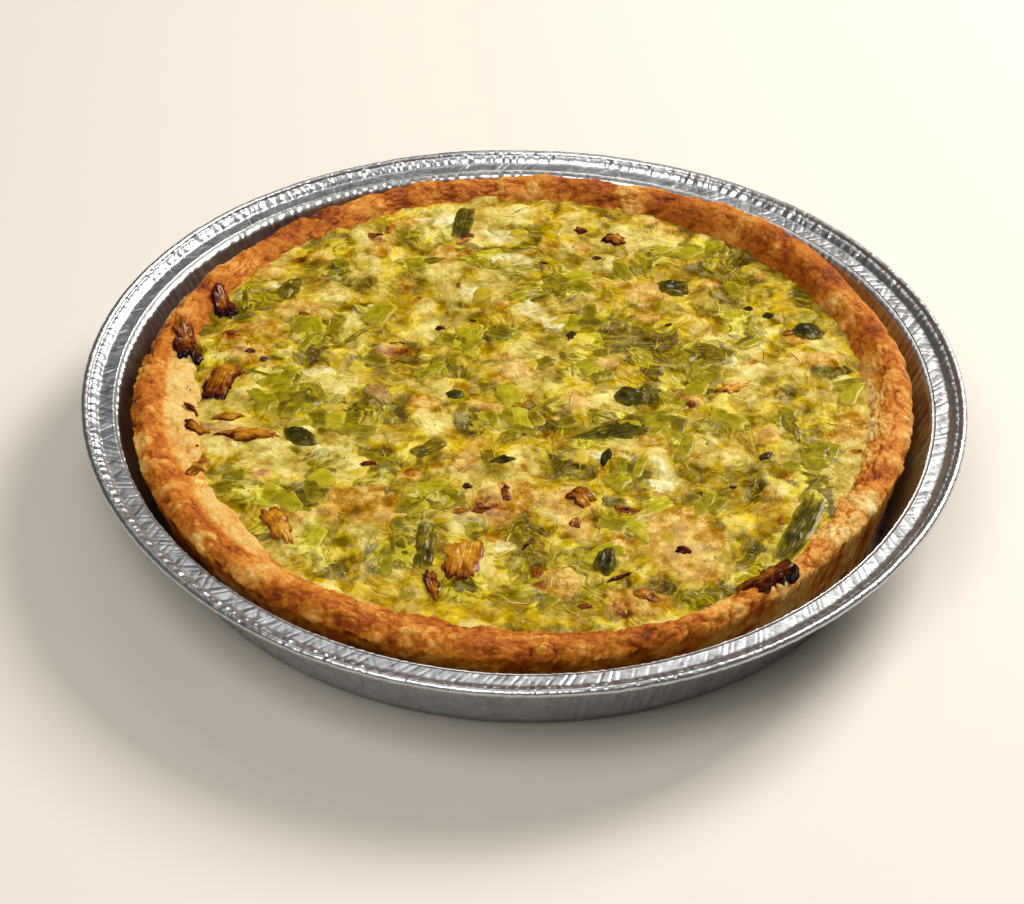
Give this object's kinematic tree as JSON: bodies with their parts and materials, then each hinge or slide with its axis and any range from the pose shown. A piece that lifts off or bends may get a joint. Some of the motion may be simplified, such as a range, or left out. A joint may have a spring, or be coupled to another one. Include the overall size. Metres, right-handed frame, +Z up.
{
  "type": "quiche in foil tin",
  "caption": "Baked leek and onion quiche with a browned pastry rim, standing in its own crimped foil tin.",
  "frame": {"origin": "below the middle of the tin's rim, on the surface that the tin stands on (the rim is slightly out of round, so the base's own centre is 1.1 mm towards +Y)", "axes": "+Z up out of the quiche; -Y towards the side shown nearest"},
  "size_m": [0.24, 0.24, 0.0342],
  "materials": {
    "foil": "bright rolled foil, crimped at the rim",
    "pastry": "baked shortcrust, golden to brown",
    "custard": "set egg custard, moist and browned in spots",
    "leek_dark": "dark leek top, oily",
    "leek_green": "green leek, moist",
    "leek_olive": "olive leek, moist",
    "leek_soft": "soft pale green leek, moist",
    "onion_charred": "charred onion, oily",
    "onion_plum": "dark baked onion, oily",
    "onion_amber": "amber baked onion, moist",
    "onion_caramel": "caramelised onion, moist",
    "onion_pale": "pale onion, browned at the edges",
    "mushroom": "sliced mushroom, baked"
  },
  "bodies": {
    "root": {"foil_tin": "foil", "pastry": "pastry", "filling": "custard", "leek_hex_back": "leek_dark", "leek_hex_right": "leek_dark", "leek_dark_middle": "leek_dark", "leek_small_middle": "leek_dark", "leek_leaf_long": "leek_dark", "leek_almond": "leek_dark", "leek_leaf_side": "leek_dark", "leek_folded": "leek_dark", "leek_ribbon_back": "leek_green", "leek_crescent": "leek_green", "leek_ring_left": "leek_green", "leek_strip_right": "leek_green", "leek_stalk_near": "leek_green", "leek_tile_back": "leek_olive", "leek_thread": "leek_olive", "leek_round_right": "leek_olive", "leek_tile_olive": "leek_olive", "leek_soft_back": "leek_soft", "leek_wide_left": "leek_soft", "leek_wide_near": "leek_soft", "onion_char_back": "onion_charred", "onion_shallot": "onion_charred", "mushroom_bit": "onion_plum", "onion_char_side": "onion_plum", "onion_chip": "onion_plum", "onion_root": "onion_plum", "onion_amber": "onion_amber", "leek_block_near": "onion_amber", "onion_strip_top": "onion_caramel", "onion_strip_left": "onion_caramel", "onion_strip_long": "onion_caramel", "onion_fan": "onion_pale", "onion_curl": "onion_pale", "mushroom_slice": "mushroom"}
  },
  "joints": []
}
